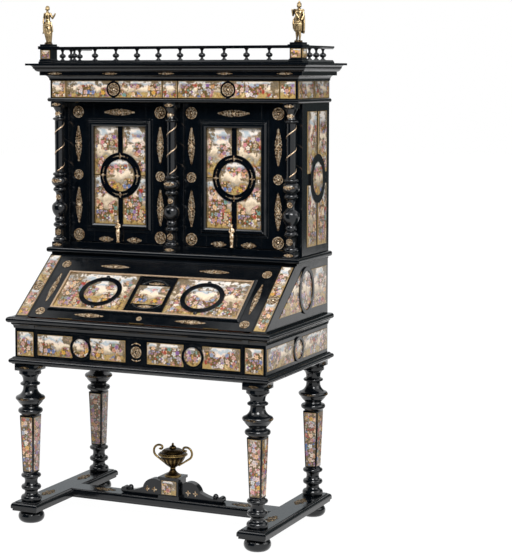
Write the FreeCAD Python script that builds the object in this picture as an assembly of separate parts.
import FreeCAD, Part
import math
import os

V = FreeCAD.Vector
os.makedirs("parts", exist_ok=True)

# Driving dimensions in millimetres. X runs to the right, Y to the back and Z up from the floor.

# Feet, stretchers and legs
LEG_INSET_SIDE = 45.0
LEG_INSET_END = 32.0
FOOT_RADIUS = 50.0
FOOT_SEAT_RADIUS = 36.0
FOOT_HEIGHT = 47.0
STRETCHER_THICK = 34.0
STRETCHER_ROUND = 9.0
SIDE_STRETCHER_WIDTH = 114.0
CROSS_STRETCHER_WIDTH = 88.0
LEG_LOWER_HEIGHT = 110.0
LEG_PILLAR_HEIGHT = 221.0
LEG_UPPER_HEIGHT = 173.0
LEG_RING_RADIUS = 35.0
LEG_NECK_RADIUS = 26.0
LEG_COLLAR_RADIUS = 46.0
LEG_VASE_RADIUS = 56.0
PILLAR_FOOT_WIDTH = 46.0
PILLAR_HEAD_WIDTH = 60.0
ABACUS_WIDTH = 86.0
ABACUS_HEIGHT = 24.0

# Pedestal and urn on the cross stretcher
PEDESTAL_WIDTH = 88.0
PEDESTAL_DEPTH = 80.0
PEDESTAL_HEIGHT = 84.0
SCROLL_LENGTH = 174.0
SCROLL_HEIGHT = 68.0
SCROLL_TOE = 12.0
SCROLL_THICK = 30.0
URN_BOWL_RADIUS = 57.0
URN_FOOT_RADIUS = 32.0
URN_HEIGHT = 86.0
URN_LID_HEIGHT = 43.0
URN_HANDLE_REACH = 86.0
URN_HANDLE_RADIUS = 4.5
URN_HANDLE_BEND = 24.0
URN_HANDLE_CURL = 7.0
URN_HANDLE_RISE = 5.0

# Drawer case
CASE_WIDTH = 1032.0
CASE_DEPTH = 600.0
BOARD = 22.0
BACK_BOARD = 18.0
CASE_BOTTOM_THICK = 28.0
APRON_OUT = 19.5
DRAWER_OPENING_HEIGHT = 102.0
DRAWER_OPENING_WIDTH = 848.0
CORNER_POST_DEPTH = 30.0
DUST_BOARD = 8.0
FASCIA_HEIGHT = 21.0
FASCIA_OUT = 11.0
FLOOR_THICK = 22.0
LIP_OUT = 26.0
RUNNING_GAP = 0.3
DRAWER_GAP_SIDE = 1.5
DRAWER_GAP_EDGE = 1.0
DRAWER_SIDE = 12.0
DRAWER_SIDE_INSET = 12.0
DRAWER_BACK_ROOM = 32.0
DRAWER_BOX_HEIGHT = 86.0
DRAWER_BOTTOM = 6.0
GUIDE_WIDTH = 20.0
GUIDE_HEIGHT = 28.0

# Lopers, the two arms that carry the open fall front
LOPER_SPAN = 880.0
LOPER_WIDTH = 24.0
LOPER_LENGTH = 320.0
LOPER_GAP = 0.5

# Slope, fall front and pigeonholes
SLOPE_RUN = 274.0
SLOPE_RISE = 211.0
SLOPE_FOOT = 2.0
SLOPE_STILE = 56.0
FALL_LENGTH = 322.0
FALL_GAP = 2.0
FALL_HINGE_RADIUS = 2.6
FALL_HINGE_LENGTH = 60.0
FALL_HINGE_SPAN = 600.0
FALL_HINGE_LEAF = 26.0
HINGE_LEAF_THICK = 1.2
LEATHER_THICK = 1.2
LEATHER_MARGIN = 40.0
DESK_TOP_THICK = 8.0
PIGEON_BOARD = 8.0
PIGEON_BAYS = 5
PIGEON_SETBACK = 2.0

# Upper cabinet, doors and columns
UPPER_WIDTH = 1036.0
UPPER_DEPTH = 319.0
BASE_THICK = 20.0
BASE_OUT = 15.0
COLUMN_HEIGHT = 567.0
COLUMN_SPAN = 976.0
COLUMN_SETBACK = 15.0
COLUMN_BLOCK = 48.0
COLUMN_BULGE_RADIUS = 32.0
COLUMN_RING_RADIUS = 24.0
COLUMN_SHAFT_RADIUS = 18.0
COLUMN_NECK_RADIUS = 15.0
DOOR_SETBACK = 50.0
DOOR_THICK = 22.0
END_POST = 30.0
CENTRE_POST = 66.0
DOOR_RAIL_BELOW = 20.0
DOOR_GAP_SIDE = 4.0
DOOR_GAP_MIDDLE = 3.0
DOOR_GAP_EDGE = 3.5
PIVOT_INSET = 29.0
PIVOT_DEPTH = 10.0
PIVOT_RADIUS = 4.0
PIVOT_LENGTH = 16.0
PIVOT_WASHER = 9.0
FIELD_OUTER_STILE = 108.0
FIELD_INNER_STILE = 92.0
FIELD_BOTTOM_RAIL = 71.0
FIELD_TOP_RAIL = 91.0
PANEL_SETBACK = 9.0
PANEL_THICK = 8.0
DOOR_MOULD_WIDTH = 30.0
DOOR_MOULD_HEIGHT = 9.0
DOOR_RING_RADIUS = 88.0
DOOR_MEDALLION_RADIUS = 62.0
DOOR_BAR_WIDTH = 20.0
DOOR_RING_HEIGHT = 7.0
DOOR_BAR_HEIGHT = 5.0
PULL_HEIGHT = 88.0
PULL_RADIUS = 9.0
PULL_RISE = 2.0
SHELF_THICK = 14.0
SHELF_SETBACK = 30.0
PARTITION = 18.0

# Frieze, cornice, gallery and figures
SOFFIT_THICK = 15.0
SOFFIT_OUT = 9.0
FRIEZE_HEIGHT = 67.0
CORNICE_COVE_HEIGHT = 19.0
CORNICE_FASCIA_HEIGHT = 14.0
CORNICE_SLOPE_HEIGHT = 24.0
CORNICE_LIP_HEIGHT = 8.0
CORNICE_COVE_OUT = 14.0
CORNICE_FASCIA_OUT = 30.5
CORNICE_OUT = 71.0
CORNICE_LIP_STEP = 9.0
CORNICE_FILLET = 3.0
GALLERY_SETBACK = -5.0
GALLERY_SPAN = 1044.0
GALLERY_BOTTOM_RAIL = 12.0
GALLERY_TOP_RAIL = 11.0
GALLERY_RAIL_WIDTH = 20.0
GALLERY_RAIL_MOULD = 5.0
BALUSTER_HEIGHT = 41.0
BALUSTER_RADIUS = 12.0
BALUSTERS_FRONT = 10
BALUSTERS_SIDE = 4
BALUSTER_SIDE_PITCH = 68.0
BALUSTER_SIDE_FIRST = 40.0
STATUE_PLINTH_WIDTH = 48.0
STATUE_PLINTH_HEIGHT = 74.0
STATUE_FOOT_OUT = 5.0
STATUE_CAP_OUT = 6.0
FIGURE_HEIGHT = 150.0

# Enamel plaques and gilt mounts
PLAQUE = 2.0
MOUNT = 1.6
RING_HEIGHT = 6.0
PLAQUE_MARGIN = 6.0
PLAQUE_JOINT = 4.0
PLAQUE_EDGE = 8.0
SIDE_MARGIN = 10.0

# Levels, worked out from the floor upwards
Z_LEG = FOOT_HEIGHT + STRETCHER_THICK
Z_PILLAR = Z_LEG + LEG_LOWER_HEIGHT
Z_TURNING = Z_PILLAR + LEG_PILLAR_HEIGHT
Z_ABACUS = Z_TURNING + LEG_UPPER_HEIGHT
Z_CASE = Z_ABACUS + ABACUS_HEIGHT
Z_DRAWER = Z_CASE + CASE_BOTTOM_THICK
Z_DUST = Z_DRAWER + DRAWER_OPENING_HEIGHT
Z_FASCIA = Z_DUST + DUST_BOARD
Z_FLOOR = Z_FASCIA + FASCIA_HEIGHT
Z_LIP = Z_FLOOR + FLOOR_THICK
Z_DESK_TOP = Z_LIP + SLOPE_RISE
Z_BASE = Z_DESK_TOP + DESK_TOP_THICK
Z_COLUMN = Z_BASE + BASE_THICK
Z_SOFFIT = Z_COLUMN + COLUMN_HEIGHT
Z_FRIEZE = Z_SOFFIT + SOFFIT_THICK
Z_CORNICE = Z_FRIEZE + FRIEZE_HEIGHT
CORNICE_HEIGHT = CORNICE_COVE_HEIGHT + CORNICE_FASCIA_HEIGHT + CORNICE_SLOPE_HEIGHT + CORNICE_LIP_HEIGHT
Z_TOP = Z_CORNICE + CORNICE_HEIGHT
Z_GALLERY_RAIL = Z_TOP + GALLERY_BOTTOM_RAIL + BALUSTER_HEIGHT
Z_STATUE = Z_TOP + STATUE_PLINTH_HEIGHT

# Planes and half widths
CASE_HALF = CASE_WIDTH / 2
CASE_FRONT = -CASE_DEPTH / 2
CASE_BACK = CASE_DEPTH / 2
CASE_INSIDE = CASE_HALF - BOARD
LEG_SPAN_X = CASE_WIDTH - 2 * LEG_INSET_SIDE
LEG_SPAN_Y = CASE_DEPTH - 2 * LEG_INSET_END
UPPER_HALF = UPPER_WIDTH / 2
UPPER_INSIDE = UPPER_HALF - BOARD
FRIEZE_FRONT = CASE_BACK - UPPER_DEPTH
DOOR_FACE = FRIEZE_FRONT + DOOR_SETBACK
COLUMN_Y = FRIEZE_FRONT + COLUMN_SETBACK
GALLERY_Y = FRIEZE_FRONT + GALLERY_SETBACK
STRETCHER_END = CASE_DEPTH / 2 + LIP_OUT


def flat(path, place):
    """Face inside a closed path of corners, where a pair of points is an arc through one to the other."""
    edges = []
    here = path[0]
    for step in path[1:]:
        if isinstance(step[0], tuple):
            middle, end = step
            edges.append(Part.Arc(place(here), place(middle), place(end)).toShape())
        else:
            end = step
            edges.append(Part.makeLine(place(here), place(end)))
        here = end
    if here != path[0]:
        edges.append(Part.makeLine(place(here), place(path[0])))
    return Part.Face(Part.Wire(edges))


def prism(path, axis, start, end):
    """Outline drawn square to an axis, as (X, Y), (X, Z) or (Y, Z), and carried from start to end."""
    places = {
        "x": lambda p: V(start, p[0], p[1]),
        "y": lambda p: V(p[0], start, p[1]),
        "z": lambda p: V(p[0], p[1], start),
    }
    run = end - start
    runs = {"x": V(run, 0, 0), "y": V(0, run, 0), "z": V(0, 0, run)}
    return flat(path, places[axis]).extrude(runs[axis])


def turned(path, x, y):
    """Lathe work: a path of (radius, height) spun about an upright axis."""
    return flat(path, lambda p: V(x + p[0], y, p[1])).revolve(V(x, y, 0), V(0, 0, 1), 360)


def board(x0, x1, y0, y1, z0, z1):
    return Part.makeBox(x1 - x0, y1 - y0, z1 - z0, V(x0, y0, z0))


def block(x, y, width, depth, z0, z1):
    return board(x - width / 2, x + width / 2, y - depth / 2, y + depth / 2, z0, z1)


def fused(solids):
    return solids[0].multiFuse(solids[1:]).removeSplitter()


def mirrored(shape):
    return shape.mirror(V(0, 0, 0), V(1, 0, 0))


def both_sides(solids):
    return list(solids) + [mirrored(solid) for solid in solids]


def save(name, solids):
    Part.makeCompound(solids).exportStep("parts/" + name + ".step")


def mitred(path, half_width, front, back, across_back=False):
    """Moulding of (projection, height) along the front and both sides of a case, mitred at its corners."""
    out = max(max(p[0] for p in (s if isinstance(s[0], tuple) else (s,))) for s in path)
    low = min(min(p[1] for p in (s if isinstance(s[0], tuple) else (s,))) for s in path)
    high = max(max(p[1] for p in (s if isinstance(s[0], tuple) else (s,))) for s in path)
    wide = half_width + out

    def shifted(move):
        return [tuple(map(move, s)) if isinstance(s[0], tuple) else move(s) for s in path]

    run = prism(shifted(lambda p: (front - p[0], p[1])), "x", -wide, wide)
    corner = [(-half_width, front), (half_width, front), (wide, front - out), (-wide, front - out)]
    lengths = [run.common(prism(corner, "z", low, high))]
    end = back + out if across_back else back
    side = prism(shifted(lambda p: (half_width + p[0], p[1])), "y", front - out, end)
    corner = [(half_width, front), (wide, front - out), (wide, end), (half_width, back)]
    lengths += both_sides([side.common(prism(corner, "z", low, high))])
    if across_back:
        run = prism(shifted(lambda p: (back + p[0], p[1])), "x", -wide, wide)
        corner = [(-half_width, back), (half_width, back), (wide, end), (-wide, end)]
        lengths.append(run.common(prism(corner, "z", low, high)))
    return lengths


# Ornament is drawn lying flat, as (across, up) with its thickness along Z, and then set on its face.
def tile(x0, x1, y0, y1, thick=PLAQUE):
    return board(x0, x1, y0, y1, 0, thick)


def disc(x, y, radius, thick=MOUNT):
    return Part.makeCylinder(radius, thick, V(x, y, 0))


def oval(x, y, half_across, half_up, thick):
    centre = V(x, y, 0)
    ends = [V(half_across, 0, 0), V(0, half_up, 0)]
    longer, shorter = sorted(ends, key=lambda end: -end.Length)
    curve = Part.Ellipse(centre + longer, centre + shorter, centre)
    return Part.Face(Part.Wire(curve.toShape())).extrude(V(0, 0, thick))


def lens(x, y, across, up):
    """Pointed mount between two arcs, longer along its greater size."""
    if across > up:
        tips, swells = [(x - across / 2, y), (x + across / 2, y)], [(x, y + up / 2), (x, y - up / 2)]
    else:
        tips, swells = [(x, y - up / 2), (x, y + up / 2)], [(x + across / 2, y), (x - across / 2, y)]
    return prism([tips[0], (swells[0], tips[1]), (swells[1], tips[0])], "z", 0, MOUNT)


def framed(x0, x1, y0, y1, path):
    """Frame moulding of (outwards, height) round a rectangle, mitred at four corners."""
    width = max(p[0] for p in path)
    height = max(p[1] for p in path)
    left, right, low, high = x0 - width, x1 + width, y0 - width, y1 + width
    bottom = prism([(y0 - a, b) for a, b in path], "x", left, right)
    top = prism([(y1 + a, b) for a, b in path], "x", left, right)
    west = prism([(x0 - a, b) for a, b in path], "y", low, high)
    east = prism([(x1 + a, b) for a, b in path], "y", low, high)
    cuts = [
        (bottom, [(x0, y0), (x1, y0), (right, low), (left, low)]),
        (top, [(x0, y1), (x1, y1), (right, high), (left, high)]),
        (west, [(x0, y0), (x0, y1), (left, high), (left, low)]),
        (east, [(x1, y0), (x1, y1), (right, high), (right, low)]),
    ]
    return [length.common(prism(corner, "z", 0, height)) for length, corner in cuts]


def placed(solids, turn_axis, turn_deg, move):
    matrix = FreeCAD.Placement(move, FreeCAD.Rotation(turn_axis, turn_deg)).toMatrix()
    return [solid.transformed(matrix) for solid in solids]


def on_front(solids, face):
    """Sets flat ornament upright on a front face: across is X, up is Z."""
    return placed(solids, V(1, 0, 0), 90, V(0, face, 0))


def on_side(solids, face):
    """Sets flat ornament on the right side face: across is Y, up is Z."""
    return placed(solids, V(1, 1, 1), 120, V(face, 0, 0))


SLOPE_DEG = math.degrees(math.atan2(SLOPE_RISE, SLOPE_RUN))
SLOPE_FOOT_Y = CASE_FRONT - SLOPE_FOOT


def on_slope(solids):
    """Lays flat ornament on the slope: across is X, up runs from the lip to the top of the slope."""
    return placed(solids, V(1, 0, 0), SLOPE_DEG, V(0, SLOPE_FOOT_Y, Z_LIP))


# Bun feet, turned, standing on a flat seat
FOOT_GIRTH = FOOT_HEIGHT * 0.42
FOOT_HEAD_RADIUS = FOOT_RADIUS * 0.62
LEG_PLACES = [(sx * LEG_SPAN_X / 2, sy * LEG_SPAN_Y / 2) for sx in (-1, 1) for sy in (-1, 1)]
foot_path = [
    (0, 0),
    (FOOT_SEAT_RADIUS, 0),
    ((FOOT_RADIUS, FOOT_GIRTH), (FOOT_HEAD_RADIUS, FOOT_HEIGHT)),
    (0, FOOT_HEIGHT),
]
save("bun_feet", [turned(foot_path, x, y) for x, y in LEG_PLACES])

# Stretchers: two side boards under the legs and one board between them, with rounded edges
side_middle = LEG_SPAN_X / 2
side_inner = side_middle - SIDE_STRETCHER_WIDTH / 2
side_board = block(side_middle, 0, SIDE_STRETCHER_WIDTH, 2 * STRETCHER_END, FOOT_HEIGHT, Z_LEG)
rim = [e for e in side_board.Edges if abs(e.Vertexes[0].Z - e.Vertexes[1].Z) < 1]
side_board = side_board.makeFillet(STRETCHER_ROUND, [e for e in rim if e.CenterOfMass.x > side_inner + 1])
save("side_stretcher_right", [side_board])
save("side_stretcher_left", [mirrored(side_board)])
cross_board = block(0, 0, 2 * side_inner, CROSS_STRETCHER_WIDTH, FOOT_HEIGHT, Z_LEG)
rim = [e for e in cross_board.Edges if e.BoundBox.XLength > side_inner]
save("cross_stretcher", [cross_board.makeFillet(STRETCHER_ROUND, rim)])


# Legs: a turned foot, a square pillar that widens upwards, a turned vase and a square block
def leg(x, y):
    ring, neck, collar, vase = LEG_RING_RADIUS, LEG_NECK_RADIUS, LEG_COLLAR_RADIUS, LEG_VASE_RADIUS

    def low(share):
        return Z_LEG + share * LEG_LOWER_HEIGHT

    def high(share):
        return Z_TURNING + share * LEG_UPPER_HEIGHT

    lower = [
        (0, low(0)), (ring, low(0)), ((ring * 1.08, low(0.12)), (ring, low(0.24))), (neck, low(0.33)),
        (neck, low(0.48)), (ring, low(0.52)), (ring, low(0.6)), (neck, low(0.66)), (neck, low(0.82)),
        (ring, low(0.87)), (ring, low(0.96)), (neck, low(1)), (0, low(1)),
    ]
    upper = [
        (0, high(0)), (neck, high(0)), (collar, high(0.07)), (collar, high(0.13)), (neck * 1.2, high(0.19)),
        (vase * 0.92, high(0.34)), ((vase, high(0.38)), (vase * 0.92, high(0.42))),
        ((neck * 1.35, high(0.5)), (neck, high(0.61))), (neck, high(0.65)), (ring, high(0.68)),
        (ring, high(0.71)), (neck, high(0.75)), (neck, high(0.81)), (ring * 1.15, high(0.92)),
        (ring * 1.15, high(1)), (0, high(1)),
    ]
    foot_square = Part.makePolygon([
        V(x + sx * PILLAR_FOOT_WIDTH / 2, y + sy * PILLAR_FOOT_WIDTH / 2, Z_PILLAR)
        for sx, sy in ((-1, -1), (1, -1), (1, 1), (-1, 1), (-1, -1))
    ])
    head_square = Part.makePolygon([
        V(x + sx * PILLAR_HEAD_WIDTH / 2, y + sy * PILLAR_HEAD_WIDTH / 2, Z_TURNING)
        for sx, sy in ((-1, -1), (1, -1), (1, 1), (-1, 1), (-1, -1))
    ])
    pillar = Part.makeLoft([foot_square, head_square], True, True)
    abacus = block(x, y, ABACUS_WIDTH, ABACUS_WIDTH, Z_ABACUS, Z_CASE)
    return fused([turned(lower, x, y), pillar, turned(upper, x, y), abacus])


for (x, y), name in zip(LEG_PLACES, ("front_left", "back_left", "front_right", "back_right")):
    save("leg_" + name, [leg(x, y)])

# Enamel strips on the four faces of each pillar, which lean out with them
STRIP_END = 6.0
STRIP_SIDE = 5.0
pillar_lean = (PILLAR_HEAD_WIDTH - PILLAR_FOOT_WIDTH) / 2 / LEG_PILLAR_HEIGHT
strip_normal = V(0, -1, -pillar_lean).normalize()


def pillar_half(rise):
    return PILLAR_FOOT_WIDTH / 2 + pillar_lean * rise


rises = (STRIP_END, LEG_PILLAR_HEIGHT - STRIP_END)
corners = [
    V(side * (pillar_half(rise) - STRIP_SIDE), -pillar_half(rise), Z_PILLAR + rise)
    for rise, side in ((rises[0], -1), (rises[0], 1), (rises[1], 1), (rises[1], -1), (rises[0], -1))
]
strip = Part.Face(Part.makePolygon(corners)).extrude(strip_normal * PLAQUE)
strips = []
for x, y in LEG_PLACES:
    for turn in range(4):
        strips += placed([strip], V(0, 0, 1), 90 * turn, V(x, y, 0))
save("leg_plaques", strips)

# Gilt mounts of the base: slim ones on the leg blocks and lozenges on the stretchers
ABACUS_MOUNT = (46.0, 11.0)
STRETCHER_MOUNT = (64.0, 26.0)
STRETCHER_MOUNT_Y = 140.0
CROSS_MOUNT_X = 295.0
slim = on_front([lens(0, 0, *ABACUS_MOUNT)], -ABACUS_WIDTH / 2)
base_mounts = []
for x, y in LEG_PLACES:
    for turn in range(4):
        base_mounts += placed(slim, V(0, 0, 1), 90 * turn, V(x, y, Z_ABACUS + ABACUS_HEIGHT / 2))
flat_mounts = [lens(sx * side_middle, sy * STRETCHER_MOUNT_Y, STRETCHER_MOUNT[1], STRETCHER_MOUNT[0])
               for sx in (-1, 1) for sy in (-1, 1)]
flat_mounts += [lens(sx * CROSS_MOUNT_X, 0, *STRETCHER_MOUNT) for sx in (-1, 1)]
base_mounts += placed(flat_mounts, V(0, 0, 1), 0, V(0, 0, Z_LEG))
save("base_mounts", base_mounts)

# Stretcher pedestal: a die between a plinth and a cap
PEDESTAL_PLINTH = 12.0
PEDESTAL_CAP = 10.0
PEDESTAL_STEP = 5.0
Z_URN = Z_LEG + PEDESTAL_HEIGHT
pedestal_die = (PEDESTAL_WIDTH - 2 * PEDESTAL_STEP, PEDESTAL_DEPTH - 2 * PEDESTAL_STEP)
save("stretcher_pedestal", [fused([
    block(0, 0, PEDESTAL_WIDTH, PEDESTAL_DEPTH, Z_LEG, Z_LEG + PEDESTAL_PLINTH),
    block(0, 0, *pedestal_die, Z_LEG + PEDESTAL_PLINTH, Z_URN - PEDESTAL_CAP),
    block(0, 0, PEDESTAL_WIDTH, PEDESTAL_DEPTH, Z_URN - PEDESTAL_CAP, Z_URN),
])])

# S-scroll brackets each side of it, with a rolled toe and a knop on the toe
scroll_start = PEDESTAL_WIDTH / 2
scroll_end = scroll_start + SCROLL_LENGTH
scroll_middle = scroll_start + SCROLL_LENGTH * 0.45
scroll_top = Z_LEG + SCROLL_HEIGHT
scroll_waist = Z_LEG + SCROLL_HEIGHT * 0.45
scroll_path = [
    (scroll_start, Z_LEG),
    (scroll_start, scroll_top - SCROLL_TOE),
    ((scroll_start + SCROLL_LENGTH * 0.2, scroll_top), (scroll_middle, scroll_waist)),
    ((scroll_start + SCROLL_LENGTH * 0.62, Z_LEG + SCROLL_HEIGHT * 0.28),
     (scroll_end - 2 * SCROLL_TOE, Z_LEG + SCROLL_TOE)),
    ((scroll_end, Z_LEG + SCROLL_TOE), (scroll_end - SCROLL_TOE, Z_LEG)),
]
KNOP_RADIUS = 11.0
scroll = prism(scroll_path, "y", -SCROLL_THICK / 2, SCROLL_THICK / 2)
knop_seat = scroll_end - 3 * SCROLL_TOE
knop_column = block(knop_seat, 0, 2 * KNOP_RADIUS, 2 * KNOP_RADIUS, Z_LEG, scroll_top)
knop_foot = scroll.common(knop_column).BoundBox.ZMax - KNOP_RADIUS / 2
knop_head = knop_foot + 2 * KNOP_RADIUS
knop = turned([
    (0, knop_foot), (KNOP_RADIUS * 0.6, knop_foot),
    ((KNOP_RADIUS, knop_foot + KNOP_RADIUS), (KNOP_RADIUS * 0.4, knop_head)), (0, knop_head),
], knop_seat, 0)
save("scroll_brackets", both_sides([scroll.fuse(knop).removeSplitter()]))

# Urn: foot and bowl turned in one, two looped handles, and a lid with a finial
urn_rim = Z_URN + URN_HEIGHT
bowl = URN_BOWL_RADIUS


def urn_z(share):
    return Z_URN + share * URN_HEIGHT


def lid_z(share):
    return urn_rim + share * URN_LID_HEIGHT


urn_bowl = turned([
    (0, Z_URN), (URN_FOOT_RADIUS, Z_URN), (URN_FOOT_RADIUS, urn_z(0.05)),
    ((bowl * 0.28, urn_z(0.17)), (bowl * 0.15, urn_z(0.33))), (bowl * 0.15, urn_z(0.37)),
    (bowl * 0.28, urn_z(0.41)),
    ((bowl * 0.73, urn_z(0.69)), (bowl * 0.9, urn_z(0.91))),
    (bowl, urn_z(0.95)), (bowl, urn_rim), (0, urn_rim),
], 0, 0)
urn_lid = turned([
    (0, urn_rim), (bowl * 0.92, urn_rim), (bowl * 0.85, lid_z(0.12)),
    ((bowl * 0.66, lid_z(0.33)), (bowl * 0.3, lid_z(0.46))),
    (bowl * 0.22, lid_z(0.6)), (bowl * 0.07, lid_z(0.78)), (bowl * 0.08, lid_z(0.9)), (0, lid_z(1)),
], 0, 0)


def round_bar(start, end):
    return Part.makeCylinder(URN_HANDLE_RADIUS, (end - start).Length, start, end - start)


def round_bend(centre, start, sweep):
    """Round wire bent from a start point about a centre, in the plane of X and Z."""
    along = (start - centre).cross(V(0, 1, 0))
    ring = Part.Face(Part.Wire(Part.makeCircle(URN_HANDLE_RADIUS, start, along)))
    return ring.revolve(centre, V(0, -1, 0), sweep)


# Each handle runs straight out from the bowl, bends over above the rim and ends in a curl
HANDLE_BEND_END = 110.0
HANDLE_CURL_SWEEP = 200.0
bend_x = URN_HANDLE_REACH - URN_HANDLE_RADIUS - URN_HANDLE_BEND
bend_centre = V(bend_x, 0, urn_rim + URN_HANDLE_RISE)
handle_root = V(bowl * 0.45, 0, urn_z(0.48))
root_run = bend_centre - handle_root
run_turn = math.degrees(math.atan2(root_run.z, root_run.x) - math.asin(URN_HANDLE_BEND / root_run.Length))
run_length = math.sqrt(root_run.Length ** 2 - URN_HANDLE_BEND ** 2)
run_end = handle_root + V(math.cos(math.radians(run_turn)), 0, math.sin(math.radians(run_turn))) * run_length
bend_head = V(math.cos(math.radians(HANDLE_BEND_END)), 0, math.sin(math.radians(HANDLE_BEND_END)))
bend_end = bend_centre + bend_head * URN_HANDLE_BEND
curl_centre = bend_end - bend_head * URN_HANDLE_CURL
handle = fused([
    round_bar(handle_root, run_end),
    round_bend(bend_centre, run_end, HANDLE_BEND_END + 90 - run_turn),
    round_bend(curl_centre, bend_end, HANDLE_CURL_SWEEP),
]).cut(urn_bowl)
handle = max(handle.Solids, key=lambda solid: solid.Volume)
save("urn_body", [urn_bowl] + both_sides([handle]))
save("urn_lid", [urn_lid])

# Drawer case boards: bottom, sides, back, corner posts, rails, dust board and drawer guides
drawer_half = DRAWER_OPENING_WIDTH / 2
post_back = CASE_FRONT + CORNER_POST_DEPTH
loper_inner = LOPER_SPAN / 2 - LOPER_WIDTH / 2 - LOPER_GAP
loper_outer = LOPER_SPAN / 2 + LOPER_WIDTH / 2 + LOPER_GAP
loper_channel_end = CASE_FRONT + LOPER_LENGTH + LOPER_GAP
box_half = drawer_half - DRAWER_GAP_SIDE - DRAWER_SIDE_INSET
case_back_face = CASE_BACK - BACK_BOARD
save("case_boards", [
    board(-CASE_HALF, CASE_HALF, CASE_FRONT, CASE_BACK, Z_CASE, Z_DRAWER),
    board(-CASE_INSIDE, CASE_INSIDE, case_back_face, CASE_BACK, Z_DRAWER, Z_FLOOR),
    board(-drawer_half, drawer_half, CASE_FRONT, post_back, Z_DUST, Z_FASCIA),
    board(-CASE_INSIDE, CASE_INSIDE, post_back, case_back_face, Z_DUST, Z_FASCIA),
    board(-loper_inner, loper_inner, CASE_FRONT, post_back, Z_FASCIA, Z_FLOOR),
] + both_sides([
    board(CASE_INSIDE, CASE_HALF, post_back, CASE_BACK, Z_DRAWER, Z_FLOOR),
    board(drawer_half, CASE_HALF, CASE_FRONT, post_back, Z_DRAWER, Z_FASCIA),
    board(loper_outer, CASE_HALF, CASE_FRONT, post_back, Z_FASCIA, Z_FLOOR),
    board(box_half + DRAWER_GAP_SIDE, box_half + DRAWER_GAP_SIDE + GUIDE_WIDTH, post_back, case_back_face,
          Z_DRAWER, Z_DRAWER + GUIDE_HEIGHT),
]))

# Apron moulding round the bottom board
apron_path = [
    (0, Z_CASE), (APRON_OUT * 0.4, Z_CASE), (APRON_OUT * 0.6, Z_CASE + CASE_BOTTOM_THICK * 0.15),
    ((APRON_OUT, Z_CASE + CASE_BOTTOM_THICK * 0.45), (APRON_OUT * 0.6, Z_CASE + CASE_BOTTOM_THICK * 0.8)),
    (APRON_OUT * 0.3, Z_DRAWER), (0, Z_DRAWER),
]
save("apron_moulding", mitred(apron_path, CASE_HALF, CASE_FRONT, CASE_BACK, across_back=True))

# Desk floor in four boards, which leave two channels for the lopers
save("desk_floor", [
    board(-loper_inner, loper_inner, CASE_FRONT, loper_channel_end, Z_FLOOR, Z_LIP),
    board(-CASE_HALF, CASE_HALF, loper_channel_end, CASE_BACK, Z_FLOOR, Z_LIP),
] + both_sides([board(loper_outer, CASE_HALF, CASE_FRONT, loper_channel_end, Z_FLOOR, Z_LIP)]))

# Lip and fascia mouldings, cut through where the lopers come out
lip_path = [
    (0, Z_FLOOR), (LIP_OUT - FLOOR_THICK / 2, Z_FLOOR),
    ((LIP_OUT, Z_FLOOR + FLOOR_THICK / 2), (LIP_OUT - FLOOR_THICK / 2, Z_LIP)), (0, Z_LIP),
]
fascia_path = [
    (0, Z_FASCIA), (FASCIA_OUT * 0.3, Z_FASCIA), (FASCIA_OUT * 0.5, Z_FASCIA + FASCIA_HEIGHT * 0.5),
    (FASCIA_OUT, Z_FASCIA + FASCIA_HEIGHT * 0.75), (FASCIA_OUT, Z_FLOOR), (0, Z_FLOOR),
]
loper_slot = board(loper_inner, loper_outer, CASE_FRONT - LIP_OUT, CASE_FRONT, Z_FASCIA, Z_LIP)
lip_lengths = []
for path in (lip_path, fascia_path):
    for length in mitred(path, CASE_HALF, CASE_FRONT, CASE_BACK):
        lip_lengths += length.cut(Part.makeCompound(both_sides([loper_slot]))).Solids
save("lip_moulding", lip_lengths)

# Lopers, whose front ends carry the profile of the lip and fascia
loper_low = Z_FASCIA + LOPER_GAP
loper_high = Z_LIP - LOPER_GAP
loper_left_face = LOPER_SPAN / 2 - LOPER_WIDTH / 2
loper_nose = [CASE_FRONT - out for out in (FASCIA_OUT * 0.3, FASCIA_OUT, LIP_OUT - FLOOR_THICK / 2, LIP_OUT)]
loper_path = [
    (CASE_FRONT + LOPER_LENGTH, loper_low), (loper_nose[0], loper_low),
    (loper_nose[1], Z_FASCIA + FASCIA_HEIGHT * 0.75), (loper_nose[1], Z_FLOOR), (loper_nose[2], Z_FLOOR),
    ((loper_nose[3], Z_FLOOR + FLOOR_THICK / 2), (loper_nose[2], loper_high)),
    (CASE_FRONT + LOPER_LENGTH, loper_high),
]
loper = prism(loper_path, "x", loper_left_face, loper_left_face + LOPER_WIDTH)
save("loper_right", [loper])
save("loper_left", [mirrored(loper)])

# Drawer box: two sides, a back and a bottom behind a thick front
front_half = drawer_half - DRAWER_GAP_SIDE
front_back = CASE_FRONT + BOARD
box_low = Z_DRAWER + RUNNING_GAP
box_back = case_back_face - DRAWER_BACK_ROOM
box_inside = box_half - DRAWER_SIDE
save("drawer_box", [
    board(-box_inside, box_inside, front_back, box_back - DRAWER_SIDE, box_low, box_low + DRAWER_BOTTOM),
    board(-box_inside, box_inside, box_back - DRAWER_SIDE, box_back, box_low, box_low + DRAWER_BOX_HEIGHT),
] + both_sides([
    board(box_inside, box_half, front_back, box_back, box_low, box_low + DRAWER_BOX_HEIGHT),
]))

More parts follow.
